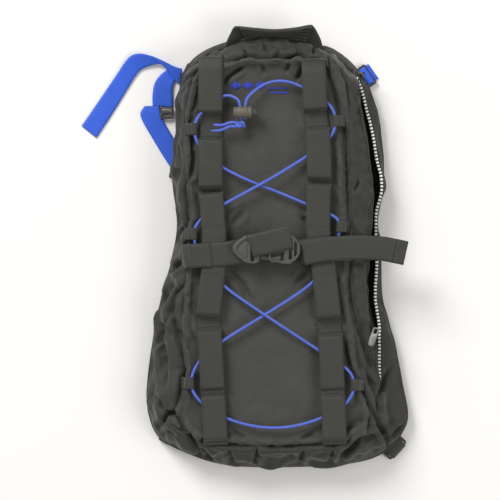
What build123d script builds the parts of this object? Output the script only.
from build123d import *
from math import cos, hypot, pi, radians, sin, tan
import os

# A small panel-loading ski backpack, empty, lying on its back. +Z comes out of the front panel,
# +Y points to the grab handle, +X is the side with the open zip. The origin is the centre of the
# flat spine pad that the pack rests on. Millimetres.

os.makedirs("parts", exist_ok=True)

# ---- driving dimensions ----
WEB = 25.0  # wide webbing: daisy chains, compression strap, handle
WEB_NARROW = 20.0  # harness webbing
WEB_T = 1.5  # webbing thickness
FABRIC_T = 2.0  # lined shell fabric, with its seam allowance
CORD_D = 3.0  # shock cord

PAD_TOP = 8.0  # spine pad and shoulder straps lie under the back panel
BACK_TOP = 14.0  # inner face of the back panel
ZIP_Z = 24.0  # free edge of the rear gusset, where the zip is sewn on
ZIP_FRONT_Z = 41.0  # free edge of the front gusset
PANEL_Z = 48.0  # inner face of the front panel
FACE_Z = PANEL_Z + FABRIC_T  # outer face of the front panel
ZIP_OFFSET = 7.0  # the front edge lies this far inside the rear edge where the zip gapes
TAPE_H = 2.0
TEETH_H = 2.6

SIDE_TOP_Y = 186.0  # side gussets run between these two heights
SIDE_LOW_Y = -186.0
ZIP_LOW_Y = -143.0  # lower end of the open zip

# ---- outlines, anticlockwise from the middle of the bottom edge ----
BACK_OUTLINE = [
    (0, -226), (75, -222), (113, -209), (135, -178), (131, -138), (120, -90), (109, -48),
    (108, -8), (104, 28), (110, 68), (109, 110), (102, 150), (88, 180), (56, 209),
    (0, 217), (-52, 212), (-90, 194), (-103, 160), (-106, 112), (-109, 68), (-104, 32),
    (-110, -10), (-121, -50), (-130, -95), (-136, -145), (-129, -187), (-100, -209), (-55, -223),
]
ZIP_OUTLINE = [
    (0, -222), (75, -217), (106, -204), (122, -176), (107, -140), (106, -88), (104, -48),
    (102, -5), (103, 30), (108, 64), (100, 108), (91, 148), (79, 181), (52, 205),
    (0, 214), (-50, 208), (-86, 190), (-99, 158), (-103, 110), (-106, 66), (-102, 32),
    (-107, -8), (-116, -50), (-124, -92), (-130, -142), (-124, -184), (-97, -206), (-53, -219),
]
FRONT_OUTLINE = [
    (0, -203), (62, -200), (88, -190), (94, -165), (86, -135), (79, -88), (75, -45),
    (74, -2), (73, 30), (72, 66), (72, 108), (73, 148), (68, 178), (48, 194),
    (-5, 199), (-52, 195), (-82, 182), (-94, 152), (-96, 108), (-95, 64), (-94, 30),
    (-95, -5), (-97, -45), (-99, -88), (-97, -132), (-108, -172), (-90, -190), (-50, -201),
]


def inset(outline, distance):
    """The outline's points moved inwards by a distance, or outwards if it is negative."""
    count = len(outline)
    moved = []
    for i, (x, y) in enumerate(outline):
        (x0, y0), (x1, y1) = outline[i - 1], outline[(i + 1) % count]
        run = hypot(x1 - x0, y1 - y0)
        moved.append((x - distance * (y1 - y0) / run, y + distance * (x1 - x0) / run))
    return moved


def outline_face(outline, z):
    with BuildSketch(Plane.XY.offset(z)) as sketch:
        with BuildLine():
            Spline(*outline, periodic=True)
        make_face()
    return sketch.sketch.face()


def band(lower, z_low, upper, z_high, wall):
    """A hollow wall that runs round the pack from one outline up to another."""
    with BuildPart() as ring:
        loft([outline_face(lower, z_low), outline_face(upper, z_high)])
        inner = [outline_face(inset(lower, wall), z_low), outline_face(inset(upper, wall), z_high)]
        loft(inner, mode=Mode.SUBTRACT)
    return ring.part


def cut_to(y_low=None, y_high=None, side=0):
    """Keeps what lies between two heights, and on one side of the middle, in the open BuildPart."""
    if y_low is not None:
        split(bisect_by=Plane((0, y_low, 0), z_dir=(0, 1, 0)))
    if y_high is not None:
        split(bisect_by=Plane((0, y_high, 0), z_dir=(0, -1, 0)))
    if side:
        split(bisect_by=Plane((0, 0, 0), z_dir=(side, 0, 0)))


def ribbon_points(line, width):
    """The closed outline of a flat ribbon of one width along a line of points."""
    left, right = [], []
    for i, (x, y) in enumerate(line):
        (x0, y0), (x1, y1) = line[max(i - 1, 0)], line[min(i + 1, len(line) - 1)]
        run = hypot(x1 - x0, y1 - y0)
        nx, ny = -(y1 - y0) / run * width / 2, (x1 - x0) / run * width / 2
        left.append((x + nx, y + ny))
        right.append((x - nx, y - ny))
    return left + right[::-1]


def ribbon_face(line, width, z):
    """A flat ribbon along a line of points, at one height."""
    with BuildSketch(Plane.XY.offset(z)) as sketch:
        with BuildLine():
            Polyline(*ribbon_points(line, width), close=True)
        make_face()
    return sketch.sketch.face()


def strip_profile(top_line, thickness=WEB_T):
    """A closed side profile of webbing whose upper face follows (along, height) points."""
    return top_line + [(along, height - thickness) for along, height in reversed(top_line)]


saved = []


def save(piece, name):
    piece.part.label = name
    export_step(piece.part, f"parts/{name}.step")
    saved.append(name)


# ---- back panel: padded cover, foam and frame sheet, and the spine pad it rests on ----
FOAM_T = 3.0
SHEET_T = 1.0
COVER_T = (BACK_TOP - PAD_TOP - FOAM_T - SHEET_T) / 2

with BuildPart() as back_panel:
    extrude(outline_face(BACK_OUTLINE, PAD_TOP), amount=BACK_TOP - PAD_TOP)
    core = outline_face(inset(BACK_OUTLINE, 14), PAD_TOP + COVER_T)
    extrude(core, amount=FOAM_T + SHEET_T, mode=Mode.SUBTRACT)
save(back_panel, "back_panel")

with BuildPart() as back_foam:
    extrude(outline_face(inset(BACK_OUTLINE, 14), PAD_TOP + COVER_T), amount=FOAM_T)
save(back_foam, "back_foam")

with BuildPart() as frame_sheet:
    extrude(outline_face(inset(BACK_OUTLINE, 14), PAD_TOP + COVER_T + FOAM_T), amount=SHEET_T)
save(frame_sheet, "frame_sheet")

SPINE_W = 58.0
SPINE_L = 370.0
with BuildPart() as spine_pad:
    with BuildSketch():
        RectangleRounded(SPINE_W, SPINE_L, 18)
    extrude(amount=PAD_TOP)
    fillet(spine_pad.edges().group_by(Axis.Z)[0], 2.5)
save(spine_pad, "spine_pad")

# ---- gussets: the walls between the back panel and the front panel ----
rear_band = band(BACK_OUTLINE, BACK_TOP, ZIP_OUTLINE, ZIP_Z, FABRIC_T)
closed_band = band(ZIP_OUTLINE, ZIP_Z, FRONT_OUTLINE, PANEL_Z, FABRIC_T)
open_band = band(inset(ZIP_OUTLINE, ZIP_OFFSET), ZIP_FRONT_Z, FRONT_OUTLINE, PANEL_Z, FABRIC_T)
CHAIN_OUT = 1.6  # the closed zip chain stands this far out of the top gusset
chain_band = band(inset(ZIP_OUTLINE, -CHAIN_OUT), ZIP_Z - 2, inset(ZIP_OUTLINE, -CHAIN_OUT), ZIP_Z + 2, 3.0)

with BuildPart() as left_gusset:
    add(rear_band)
    add(closed_band)
    cut_to(SIDE_LOW_Y, SIDE_TOP_Y, -1)
save(left_gusset, "left_gusset")

with BuildPart() as top_gusset:
    add(rear_band)
    add(closed_band)
    add(chain_band, mode=Mode.SUBTRACT)
    cut_to(y_low=SIDE_TOP_Y)
save(top_gusset, "top_gusset")

with BuildPart() as bottom_panel:
    add(rear_band)
    add(closed_band)
    cut_to(y_high=SIDE_LOW_Y)
save(bottom_panel, "bottom_panel")

with BuildPart() as right_gusset_lower:
    add(rear_band)
    add(closed_band)
    cut_to(SIDE_LOW_Y, ZIP_LOW_Y, 1)
save(right_gusset_lower, "right_gusset_lower")

with BuildPart() as right_gusset_rear:
    add(rear_band)
    cut_to(ZIP_LOW_Y, SIDE_TOP_Y, 1)
save(right_gusset_rear, "right_gusset_rear")

with BuildPart() as right_gusset_front:
    add(open_band)
    cut_to(ZIP_LOW_Y, SIDE_TOP_Y, 1)
save(right_gusset_front, "right_gusset_front")

with BuildPart() as front_panel:
    extrude(outline_face(FRONT_OUTLINE, PANEL_Z), amount=FABRIC_T)
save(front_panel, "front_panel")

# ---- zip: two tapes with their teeth, the closed chain over the top, two sliders with pulls ----
TAPE_T = 1.2
TEETH_W = 3.0


def zip_strip(outline, z, height, wall):
    strip = band(outline, z, outline, z + height, wall)
    with BuildPart() as piece:
        add(strip)
        cut_to(ZIP_LOW_Y, SIDE_TOP_Y, 1)
    return piece


FRONT_EDGE = inset(ZIP_OUTLINE, ZIP_OFFSET)
save(zip_strip(ZIP_OUTLINE, ZIP_Z, TAPE_H, TAPE_T), "zipper_tape_rear")
save(zip_strip(ZIP_OUTLINE, ZIP_Z + TAPE_H, TEETH_H, TEETH_W), "zipper_teeth_rear")
save(zip_strip(FRONT_EDGE, ZIP_FRONT_Z - TAPE_H, TAPE_H, TAPE_T), "zipper_tape_front")
save(zip_strip(FRONT_EDGE, ZIP_FRONT_Z - TAPE_H - TEETH_H, TEETH_H, TEETH_W), "zipper_teeth_front")

with BuildPart() as zipper_chain_top:
    add(chain_band)
    cut_to(y_low=SIDE_TOP_Y)
save(zipper_chain_top, "zipper_chain_top")

# The upper slider rides outside the chain round the shoulder of the pack, on an arc about this centre.
SLIDER_CENTRE = (8.5, 124.5)
SLIDER_R = 95.0
SLIDER_L, SLIDER_W = 12.0, 9.0
SLIDER_DEG = 36.0  # where the slider stands on its arc
PULL_L, PULL_W, PULL_T = 20.0, 6.0, 1.6


def slider_plane(deg, radius):
    """A plane on the slider's arc: x along the zip, y up towards the front panel, z outwards."""
    out = Vector(cos(radians(deg)), sin(radians(deg)), 0)
    centre = Vector(*SLIDER_CENTRE, ZIP_Z) + out * radius
    return Plane(centre, x_dir=Vector(-out.Y, out.X, 0), z_dir=out)


SLIDER_PLANE = slider_plane(SLIDER_DEG, SLIDER_R)
SLIDER_BODY = 2.5  # thickness of the slider's outer plate
BAIL_UP = 4.2  # height of the pull's pin above the slider's inner face
PULL_LEAN = 8.0  # the pull leans back on the gusset by this many degrees
PIN_R = 0.9
PULL_PIN = slider_plane(SLIDER_DEG, SLIDER_R + BAIL_UP)
PIN_PLANE = Plane(PULL_PIN.origin, x_dir=PULL_PIN.y_dir, z_dir=PULL_PIN.x_dir)
with BuildPart() as zipper_slider:
    with BuildSketch(SLIDER_PLANE):
        SlotOverall(SLIDER_L, SLIDER_W)
    extrude(amount=SLIDER_BODY)
    with BuildSketch(SLIDER_PLANE.offset(SLIDER_BODY)):
        Rectangle(3, 5)
    extrude(amount=3.5)
    with BuildSketch(PIN_PLANE):
        Circle(PIN_R + 0.3)
    extrude(amount=10, both=True, mode=Mode.SUBTRACT)
save(zipper_slider, "zipper_slider")

LEAN = radians(PULL_LEAN)
PULL_PLANE = Plane(PULL_PIN.origin, x_dir=PULL_PIN.x_dir,
                   z_dir=PULL_PIN.z_dir * cos(LEAN) + PULL_PIN.y_dir * sin(LEAN))
with BuildPart() as zipper_pull:
    with BuildSketch(PULL_PLANE.offset(-PULL_T / 2)):
        with Locations((0, PULL_L / 2 + 4.4)):
            RectangleRounded(PULL_W, PULL_L, 2)
        for bar_x in (-2.5, 2.5):
            with Locations((bar_x, 2.5)):
                Rectangle(1, 7)
    extrude(amount=PULL_T)
    with BuildSketch(PIN_PLANE):
        Circle(PIN_R)
    extrude(amount=3, both=True)
save(zipper_pull, "zipper_pull")

# The lower slider hangs on the front teeth near the bottom of the opening.
LOWER_SLIDER = (94.5, -88.0)
LOWER_SLIDER_Z = ZIP_FRONT_Z - TAPE_H - TEETH_H / 2
LOWER_BODY_OUT, LOWER_PULL_OUT = 5.0, 7.6  # outwards from the front teeth
LOWER_PLANE = Plane((*LOWER_SLIDER, LOWER_SLIDER_Z), x_dir=(0, 1, 0), z_dir=(1, 0, 0))
with BuildPart() as zipper_slider_lower:
    with BuildSketch(LOWER_PLANE.offset(LOWER_BODY_OUT)):
        SlotOverall(12, 7)
    extrude(amount=2.2)
save(zipper_slider_lower, "zipper_slider_lower")

with BuildPart() as zipper_pull_lower:
    with BuildSketch(LOWER_PLANE.offset(LOWER_PULL_OUT)):
        with Locations((PULL_L / 2, 0)):
            RectangleRounded(PULL_L, PULL_W, 2)
    extrude(amount=PULL_T)
save(zipper_pull_lower, "zipper_pull_lower")

# ---- daisy chains: two strips of webbing, sewn down between loops that the cord runs under ----
LOOP_H = 5.4  # upper face of a loop above the front panel
LOOP_END = 7.0  # length of the slope at each end of a loop
TACK_W = 2.0  # half the length of a sewn stretch between loops
LEFT_TACKS = [199, 123, 62, -70, -78, -146, -198]
RIGHT_TACKS = [195, 132, 70, -72, -84, -146, -198]
LEFT_CHAIN = ((-70.0, 199.0), (-64.0, -200.0))
RIGHT_CHAIN = ((37.0, 195.0), (58.5, -200.0))
FLAT_SPAN = 3  # the short span between two bar tacks has no loop


def chain_profile(tacks, length):
    """(along, height) points of the upper face, from the top edge of the panel down."""
    points = [(0.0, WEB_T)]
    for i, (start, end) in enumerate(zip(tacks, tacks[1:])):
        low, high = tacks[0] - start + TACK_W, tacks[0] - end - TACK_W
        if i != FLAT_SPAN:
            points += [(low, WEB_T), (low + LOOP_END, LOOP_H)]
            points += [(high - LOOP_END, LOOP_H), (high, WEB_T)]
    return points + [(length, WEB_T)]


def daisy_chain(line, tacks):
    (x0, y0), (x1, y1) = line
    length = hypot(x1 - x0, y1 - y0)
    along = Vector((x1 - x0) / length, (y1 - y0) / length, 0)
    across = Vector(along.Y, -along.X, 0)
    with BuildPart() as chain:
        with BuildSketch(Plane((x0, y0, FACE_Z), x_dir=along, z_dir=across)):
            with BuildLine():
                Polyline(*strip_profile(chain_profile(tacks, length)), close=True)
            make_face()
        extrude(amount=WEB / 2, both=True)
    return chain


save(daisy_chain(LEFT_CHAIN, LEFT_TACKS), "daisy_chain_left")
save(daisy_chain(RIGHT_CHAIN, RIGHT_TACKS), "daisy_chain_right")

# ---- cord loops: six small webbing tabs on the edge seam, each with the cord through its fold ----
CORD_Z = FACE_Z + 2.0
TAB_L, TAB_T, TAB_Y = 12.0, 3.9, 7.0
TAB_HOLE = (5.2, 3.3)
CORD_TABS = {
    "cord_loop_left_top": (-86.5, 124.5, -1), "cord_loop_left_mid": (-86.5, 16.5, -1),
    "cord_loop_left_low": (-89.5, -137, -1), "cord_loop_right_top": (59.5, 133, 1),
    "cord_loop_right_mid": (63.5, 24, 1), "cord_loop_right_low": (78.5, -139, 1),
}
for tab_name, (cord_x, cord_y, outwards) in CORD_TABS.items():
    with BuildPart() as cord_tab:
        with BuildSketch(Plane((cord_x, cord_y, CORD_Z), x_dir=(1, 0, 0), z_dir=(0, 1, 0))):
            with Locations((outwards * 3.6, 0.0)):
                RectangleRounded(TAB_L, TAB_T, 1.5)
            SlotOverall(*TAB_HOLE, mode=Mode.SUBTRACT)
        extrude(amount=TAB_Y / 2, both=True)
    save(cord_tab, tab_name)

# ---- shock cord: one length laced through the loops, both ends through the lock to a knot ----
HUMP_Z = CORD_Z + 3.4  # where one half crosses over the other
LOCK = (-36.4, 141.5, FACE_Z + 6.6)
CORD_APART = 1.9  # each half passes this far beside the lock's middle
CORD_END_Y = LOCK[1] - 7.0  # both halves end in the knot
CORD_ROUTE = [
    (LOCK[0] - CORD_APART, CORD_END_Y, LOCK[2]), (LOCK[0] - CORD_APART, 150.5, LOCK[2]),
    (-43.5, 157, 55), (-54, 160, 52.6), (-70, 153, CORD_Z), (-86.5, 132, CORD_Z),
    (-86.5, 117, CORD_Z), (-77, 101, CORD_Z), (-57, 84, CORD_Z), (-26, 69.5, CORD_Z),
    (2, 59, CORD_Z), (31, 46.5, CORD_Z), (52, 38, CORD_Z), (63.5, 31, CORD_Z),
    (63.5, 17, CORD_Z), (58, -8, CORD_Z), (36, -35, CORD_Z), (-12, -66, CORD_Z),
    (-57, -93, CORD_Z), (-80, -112, CORD_Z), (-89.5, -129.5, CORD_Z), (-89.5, -144.5, CORD_Z),
    (-76, -161, CORD_Z), (-52, -174.5, CORD_Z), (-20, -183, CORD_Z), (12, -183, CORD_Z),
    (44, -174, CORD_Z), (68, -161, CORD_Z), (78.5, -146.5, CORD_Z), (78.5, -131.5, CORD_Z),
    (68, -119, CORD_Z), (43, -104, CORD_Z), (8, -81, HUMP_Z), (-20, -62.5, HUMP_Z),
    (-56, -38, CORD_Z), (-80, -12, CORD_Z), (-86.5, 9, CORD_Z), (-86.5, 23.5, CORD_Z),
    (-76, 35, CORD_Z), (-58, 46, CORD_Z), (-29, 61.5, HUMP_Z), (-3, 76, HUMP_Z),
    (31, 97, CORD_Z), (50, 110.5, CORD_Z), (59.5, 125.5, CORD_Z), (59.5, 140, CORD_Z),
    (50, 154, CORD_Z), (28, 167, CORD_Z), (7, 175, CORD_Z), (-12, 172.5, CORD_Z),
    (-27, 162, 55), (LOCK[0] + CORD_APART, 152.5, LOCK[2]), (LOCK[0] + CORD_APART, CORD_END_Y, LOCK[2]),
]
ARC_SHARE = 0.45  # of the shorter run beside a corner


def cord_radii(route):
    """The largest arc at each corner that its two runs allow."""
    radii = []
    for a, b, c in zip(route, route[1:], route[2:]):
        before, after = Vector(*b) - Vector(*a), Vector(*c) - Vector(*b)
        half_turn = radians(before.get_angle(after)) / 2
        radii.append(ARC_SHARE * min(before.length, after.length) / tan(half_turn))
    return radii


CORD_RADII = cord_radii(CORD_ROUTE)
with BuildPart() as shock_cord:
    with BuildLine() as cord_path:
        FilletPolyline(*CORD_ROUTE, radius=CORD_RADII)
    with BuildSketch(Plane(CORD_ROUTE[0], z_dir=Vector(*CORD_ROUTE[1]) - Vector(*CORD_ROUTE[0]))):
        Circle(CORD_D / 2)
    sweep()
save(shock_cord, "shock_cord")
CORD_LENGTH = sum(edge.length for edge in cord_path.edges())
print("cord length", round(CORD_LENGTH), "tightest radius", round(min(CORD_RADII), 1),
      "tube volume", round(shock_cord.part.volume), "expected", round(pi * CORD_D**2 / 4 * CORD_LENGTH))
print("cord radii", [round(r) for r in CORD_RADII])

# ---- cord lock: a barrel with a sprung plunger, both with a slot for the two halves of the cord ----
LOCK_L, LOCK_R, BORE_R, PLUNGER_R = 19.0, 6.2, 4.6, 4.25
CORD_SLOT = (8.2, 4.6)
PLUNGER_TRAVEL = 4.0
PLUNGER_OUT = 5.5  # the button stands this far out of the barrel
LOCK_AXIS = Plane((LOCK[0] + LOCK_L / 2, LOCK[1], LOCK[2]), x_dir=(0, 1, 0), z_dir=(1, 0, 0))
LOCK_ACROSS = Plane(LOCK, x_dir=(1, 0, 0), z_dir=(0, 1, 0))
BORE_DEPTH = LOCK_L - 1.5

with BuildPart() as cord_lock_barrel:
    with BuildSketch(LOCK_AXIS):
        Circle(LOCK_R)
    extrude(amount=-LOCK_L)
    fillet(cord_lock_barrel.edges(), 1.2)
    with BuildSketch(LOCK_AXIS):
        Circle(BORE_R)
    extrude(amount=-BORE_DEPTH, mode=Mode.SUBTRACT)
    with BuildSketch(LOCK_ACROSS):
        RectangleRounded(*CORD_SLOT, 1.6)
    extrude(amount=LOCK_R + 1, both=True, mode=Mode.SUBTRACT)
save(cord_lock_barrel, "cord_lock_barrel")

SPRING_L = 4.6
PLUNGER_L = BORE_DEPTH - SPRING_L - 0.4 + PLUNGER_OUT
with BuildPart() as cord_lock_plunger:
    with BuildSketch(LOCK_AXIS.offset(PLUNGER_OUT)):
        Circle(PLUNGER_R)
    extrude(amount=-PLUNGER_L)
    fillet(cord_lock_plunger.edges().sort_by(Axis.X)[-1], 1.0)
    with BuildSketch(LOCK_ACROSS):
        with Locations((PLUNGER_TRAVEL / 2, 0)):
            RectangleRounded(CORD_SLOT[0] + PLUNGER_TRAVEL, CORD_SLOT[1], 1.6)
    extrude(amount=LOCK_R + 1, both=True, mode=Mode.SUBTRACT)
save(cord_lock_plunger, "cord_lock_plunger")

with BuildPart() as cord_lock_spring:
    with BuildSketch(LOCK_AXIS.offset(-BORE_DEPTH + 0.2)):
        Circle(1.7)
        Circle(1.1, mode=Mode.SUBTRACT)
    extrude(amount=0.2)
save(cord_lock_spring, "cord_lock_spring")

KNOT_R = 5.6
TAIL_L = 25.0  # the cord's ends lie over the left daisy chain
TAIL_RISE = 0.17
with BuildPart() as cord_knot:
    with Locations((LOCK[0] - 1.5, CORD_END_Y - KNOT_R - 0.1, FACE_Z + KNOT_R + 0.3)):
        Sphere(KNOT_R)
    with BuildSketch(Plane((LOCK[0], CORD_END_Y, LOCK[2]), x_dir=(1, 0, 0), z_dir=(0, 1, 0))):
        SlotOverall(9.2, 4.4)
    extrude(amount=-5)
    for tail_y, tail_turn in ((CORD_END_Y - 3, 174), (CORD_END_Y - 8, 183)):
        with BuildSketch(Plane((LOCK[0] - 4, tail_y, FACE_Z + 5.0),
                               z_dir=(cos(radians(tail_turn)), sin(radians(tail_turn)), TAIL_RISE))):
            Circle(CORD_D / 2)
        extrude(amount=TAIL_L)
save(cord_knot, "cord_knot")

# ---- compression strap with its side-release buckle, across the front above the loops ----
STRAP_Z = FACE_Z + LOOP_H
GAP = 0.3  # clearance between pieces that move past each other
STRAP_Y = 1.0

with BuildPart() as strap_anchor_left:
    extrude(ribbon_face([(-95, -7.5), (-68.8, -5.5)], WEB, STRAP_Z), amount=WEB_T)
save(strap_anchor_left, "strap_anchor_left")

with BuildPart() as strap_left:
    extrude(ribbon_face([(-67.2, -5.4), (-50, -3), (-30, 0)], WEB, STRAP_Z), amount=WEB_T)
save(strap_left, "strap_left")

BUCKLE_Z = STRAP_Z + WEB_T + GAP
BUCKLE_H = 7.0
PLATE_T = 1.4
BUCKLE_HALF_W = 13.5
MALE_TIP_X, MALE_X = -46.5, -19.0
SLOT_X = (-28.0, -24.5)
FEMALE_X, FEMALE_TIP_X = -10.0, 22.5
ARM_Z = BUCKLE_Z + PLATE_T + GAP
ARM_H = BUCKLE_H - 2 * (PLATE_T + GAP)
BUCKLE_MIDDLE = Plane.XY.offset(BUCKLE_Z)

with BuildPart() as buckle_male:
    with BuildSketch(BUCKLE_MIDDLE):
        with BuildLine():
            Polyline((MALE_TIP_X, STRAP_Y - 3), (MALE_TIP_X, STRAP_Y + 3), (-33, STRAP_Y + BUCKLE_HALF_W + 2),
                     (-22, STRAP_Y + BUCKLE_HALF_W + 2), (MALE_X, STRAP_Y + BUCKLE_HALF_W - 1),
                     (MALE_X, STRAP_Y - BUCKLE_HALF_W + 1), (-22, STRAP_Y - BUCKLE_HALF_W - 2),
                     (-33, STRAP_Y - BUCKLE_HALF_W - 2), close=True)
        make_face()
    extrude(amount=BUCKLE_H)
    with BuildSketch(BUCKLE_MIDDLE):
        with Locations((sum(SLOT_X) / 2, STRAP_Y)):
            Rectangle(SLOT_X[1] - SLOT_X[0], WEB + 1.4)
    extrude(amount=BUCKLE_H, mode=Mode.SUBTRACT)
    with BuildSketch(Plane.XY.offset(ARM_Z)):
        with Locations(((MALE_X + 4) / 2, STRAP_Y)):
            Rectangle(4 - MALE_X, 4)
    extrude(amount=ARM_H)
save(buckle_male, "buckle_male")

PRONG_ROOT_X = MALE_X + GAP
PRONG_TIP_X = 3.0
for side, prong_name in ((1, "buckle_prong_upper"), (-1, "buckle_prong_lower")):
    with BuildPart() as prong:
        with BuildSketch(Plane.XY.offset(ARM_Z)):
            with BuildLine():
                Polyline((PRONG_ROOT_X, STRAP_Y + side * 6), (PRONG_ROOT_X, STRAP_Y + side * 11),
                         (-9, STRAP_Y + side * 11), (-6, STRAP_Y + side * 14.5), (-2, STRAP_Y + side * 14.5),
                         (PRONG_TIP_X, STRAP_Y + side * 10), (PRONG_TIP_X, STRAP_Y + side * 6), close=True)
            make_face()
        extrude(amount=ARM_H)
    save(prong, prong_name)

with BuildPart() as strap_tail_left:
    flap = ribbon_face([(-27.8, 4), (-8, 8.5), (12, 13)], WEB - 1.5, BUCKLE_Z + BUCKLE_H + GAP)
    extrude(flap, amount=WEB_T)
    with BuildSketch(Plane.XY.offset(STRAP_Z + WEB_T + GAP)):
        with Locations((sum(SLOT_X) / 2, STRAP_Y)):
            Rectangle(2, WEB - 2)
    extrude(amount=BUCKLE_H + GAP)
save(strap_tail_left, "strap_tail_left")

with BuildPart() as buckle_female:
    with BuildSketch(BUCKLE_MIDDLE):
        with BuildLine():
            Polyline((FEMALE_X, STRAP_Y - 12), (FEMALE_X, STRAP_Y + 12), (-4, STRAP_Y + BUCKLE_HALF_W - 1),
                     (12, STRAP_Y + BUCKLE_HALF_W + 2), (FEMALE_TIP_X, STRAP_Y + 6),
                     (FEMALE_TIP_X, STRAP_Y - 6), (12, STRAP_Y - BUCKLE_HALF_W - 2),
                     (-4, STRAP_Y - BUCKLE_HALF_W + 1), close=True)
        make_face()
    extrude(amount=BUCKLE_H)
    with BuildSketch(Plane.XY.offset(ARM_Z - GAP)):
        with Locations(((FEMALE_X + 5) / 2, STRAP_Y)):
            Rectangle(5 - FEMALE_X, 60)
    extrude(amount=ARM_H + 2 * GAP, mode=Mode.SUBTRACT)
    with BuildSketch(BUCKLE_MIDDLE):
        with Locations((12.5, STRAP_Y)):
            Rectangle(3.5, 22)
    extrude(amount=BUCKLE_H, mode=Mode.SUBTRACT)
save(buckle_female, "buckle_female")

TAIL_Z = STRAP_Z + WEB_T + GAP
STRAP_X, TAIL_X = FEMALE_TIP_X + 0.5, FEMALE_TIP_X + 3.5
with BuildPart() as strap_right:
    extrude(ribbon_face([(STRAP_X, -2), (50, 1), (74, 1)], WEB, STRAP_Z), amount=WEB_T)
save(strap_right, "strap_right")

with BuildPart() as strap_tail_right:
    tail_line = [(TAIL_X, -2.5), (40, 0), (56, 1.7), (80, 2), (104, 1), (128, -3.5)]
    extrude(ribbon_face(tail_line, WEB, TAIL_Z), amount=WEB_T)
save(strap_tail_right, "strap_tail_right")

# ---- grab handle: a loop of webbing that stands on the top gusset ----
HANDLE_Y, HANDLE_Z = 217.8, 36.5
HANDLE_SPAN = (-50.0, 47.0)
HANDLE_TOP_Y = 234.5
HANDLE_T = 2.4
with BuildPart() as grab_handle:
    with BuildSketch(Plane.XY.offset(HANDLE_Z - WEB / 2)):
        with BuildLine():
            loop = FilletPolyline((HANDLE_SPAN[0], HANDLE_Y - WEB / 2), (HANDLE_SPAN[0], HANDLE_Y),
                                  (HANDLE_SPAN[0] + 8, HANDLE_TOP_Y), (HANDLE_SPAN[1] - 9, HANDLE_TOP_Y),
                                  (HANDLE_SPAN[1], HANDLE_Y), (HANDLE_SPAN[1], HANDLE_Y - WEB / 2), radius=6)
            offset(loop, amount=HANDLE_T, side=Side.RIGHT)
        make_face()
    extrude(amount=WEB)
    with BuildSketch(Plane((0, HANDLE_Y, HANDLE_Z), x_dir=(0, 1, 0), z_dir=(1, 0, 0))):
        Circle(WEB / 2)
        with Locations((20, 0)):
            Rectangle(40, WEB)
    extrude(amount=80, both=True, mode=Mode.INTERSECT)
save(grab_handle, "grab_handle")

# ---- embroidered emblem ----
with BuildPart() as emblem:
    with BuildSketch(Plane.XY.offset(FACE_Z)):
        with Locations((-18, 166)):
            RectangleRounded(60, 14, 2)
    extrude(amount=0.3)
save(emblem, "emblem")

# ---- harness under the back panel: shoulder straps, webbing and ladder locks ----
STRAP_LOW, STRAP_HIGH = 0.2, PAD_TOP - GAP
SHOULDER_W = 44.0
SHOULDER_LINE = [(57, 189), (58, 140), (67, 92), (75, 45), (77, -5), (72, -55)]
LOCK_T = 3.2
WEB_LOW = 0.4  # height of the harness webbing above the table
LOCK_LOW = 2.3  # and of the plastic hardware on it


def ladder_lock(x, y, turn, length=26.0, width=13.0):
    """A frame with two openings and a bar between them, flat under the corner of the pack."""
    with BuildPart() as lock:
        along = (cos(radians(turn)), sin(radians(turn)), 0)
        with BuildSketch(Plane((x, y, LOCK_LOW), x_dir=along, z_dir=(0, 0, 1))):
            RectangleRounded(length, width, 2)
            with GridLocations(0, width / 2 - 0.6, 1, 2):
                Rectangle(length - 5, 2.6, mode=Mode.SUBTRACT)
        extrude(amount=LOCK_T)
    return lock


for side, name in ((-1, "left"), (1, "right")):
    with BuildPart() as shoulder_strap:
        line = [(side * x, y) for x, y in SHOULDER_LINE]
        extrude(ribbon_face(line, SHOULDER_W, STRAP_LOW), amount=STRAP_HIGH - STRAP_LOW)
    save(shoulder_strap, f"shoulder_strap_{name}")
    with BuildPart() as lower_web:
        extrude(ribbon_face([(side * 80, -60), (side * 92, -120), (side * 108, -180)], WEB_NARROW, WEB_LOW),
                amount=WEB_T)
    save(lower_web, f"lower_web_{name}")

save(ladder_lock(-113, -190, 60), "lower_lock_left")
save(ladder_lock(122, -206, 48), "lower_lock_right")
save(ladder_lock(-94, 183, 65, 24, 11), "lifter_lock_left")
save(ladder_lock(93, 182, -55, 24, 11), "lifter_lock_right")

TAIL_LEFT = [(-104, 179.4), (-124, 189), (-140, 193), (-153, 188), (-172, 162), (-197, 124)]
with BuildPart() as lifter_tail_left:
    extrude(ribbon_face(TAIL_LEFT, WEB_NARROW, WEB_LOW), amount=WEB_T)
save(lifter_tail_left, "lifter_tail_left")

with BuildPart() as lifter_web_left:
    extrude(ribbon_face([(-116, 172), (-119, 162), (-120, 153)], WEB_NARROW, WEB_LOW), amount=WEB_T)
save(lifter_web_left, "lifter_web_left")

with BuildPart() as lifter_web_right:
    extrude(ribbon_face([(97, 186), (91, 176)], WEB_NARROW, WEB_LOW), amount=WEB_T)
save(lifter_web_right, "lifter_web_right")

with BuildPart() as sternum_slider:
    with BuildSketch(Plane.XY.offset(LOCK_LOW)):
        with Locations((-116, 143.5)):
            RectangleRounded(14, 13, 2)
            with GridLocations(0, 5, 1, 2):
                Rectangle(9, 2, mode=Mode.SUBTRACT)
    extrude(amount=LOCK_T)
save(sternum_slider, "sternum_slider")

with BuildPart() as sternum_web_left:
    extrude(ribbon_face([(-131, 146), (-120, 125), (-104, 98)], WEB_NARROW, WEB_LOW), amount=WEB_T)
save(sternum_web_left, "sternum_web_left")

with BuildPart() as sternum_buckle:
    with BuildSketch(Plane((-106, 85, LOCK_LOW), x_dir=(0.2, 1, 0), z_dir=(0, 0, 1))):
        RectangleRounded(22, 12, 3)
    extrude(amount=LOCK_T)
save(sternum_buckle, "sternum_buckle")

print(len(saved), "nodes")
